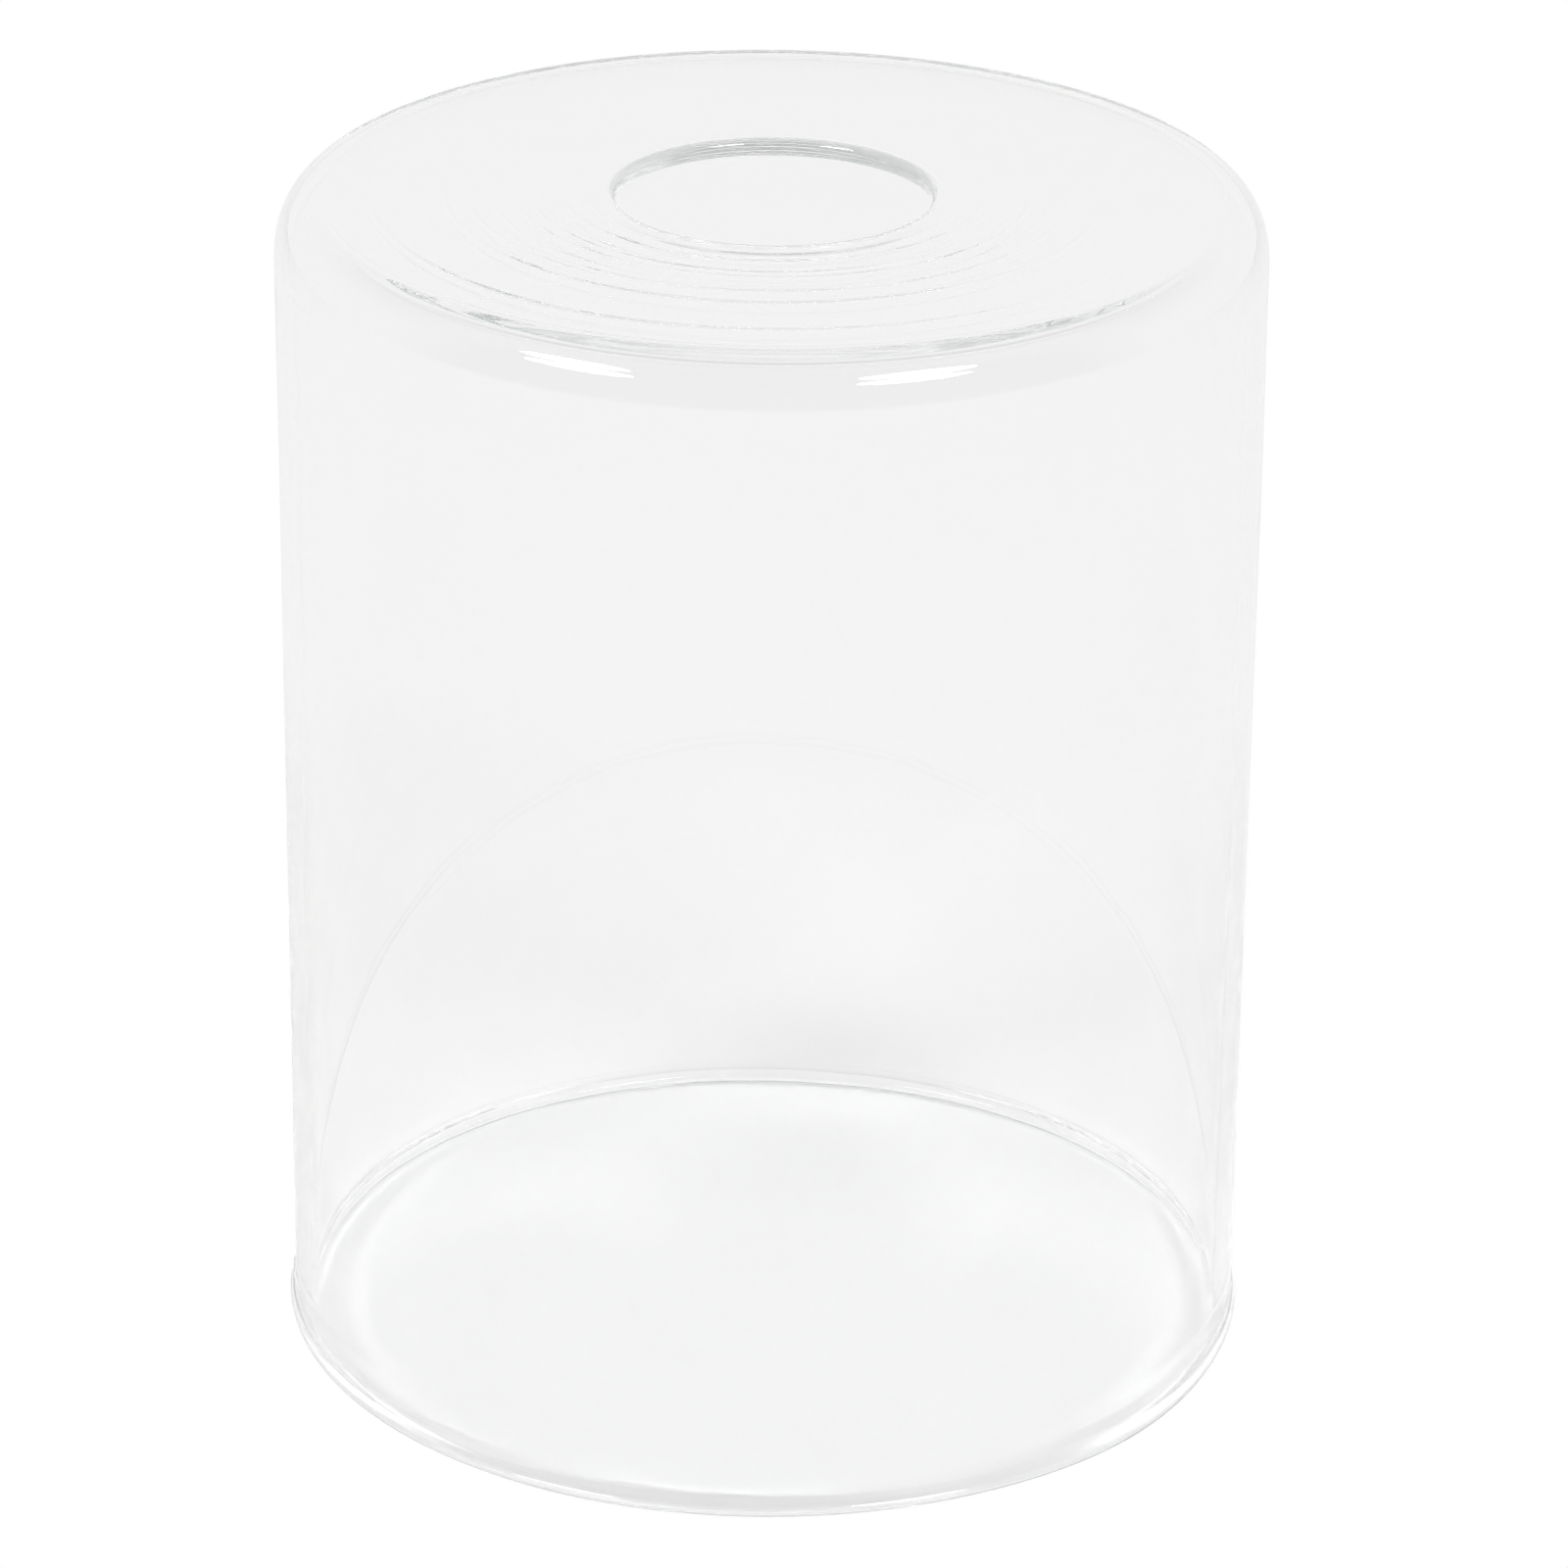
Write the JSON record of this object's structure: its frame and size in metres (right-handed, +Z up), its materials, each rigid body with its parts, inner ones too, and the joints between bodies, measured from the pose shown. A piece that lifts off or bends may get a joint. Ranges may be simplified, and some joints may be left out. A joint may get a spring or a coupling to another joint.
{
  "type": "glass lamp shade",
  "caption": "Clear glass cylinder lamp shade, open below, with a flat top, a rounded shoulder and a centred round hole for the lampholder.",
  "frame": {"origin": "centre of the open rim, in the plane of the flat foot under the bead that the shade stands on", "axes": "+Z up along the shade's own axis, from the open rim to the closed top with the fitter hole; +X and +Y are any two square directions, because the shade is a body of revolution"},
  "size_m": [0.1316, 0.1316, 0.161],
  "materials": {
    "clear_glass": "clear, glossy, very slightly green in the thick, with faint spinning rings round the hole"
  },
  "bodies": {
    "root": {"glass_shade": "clear_glass"}
  },
  "joints": []
}
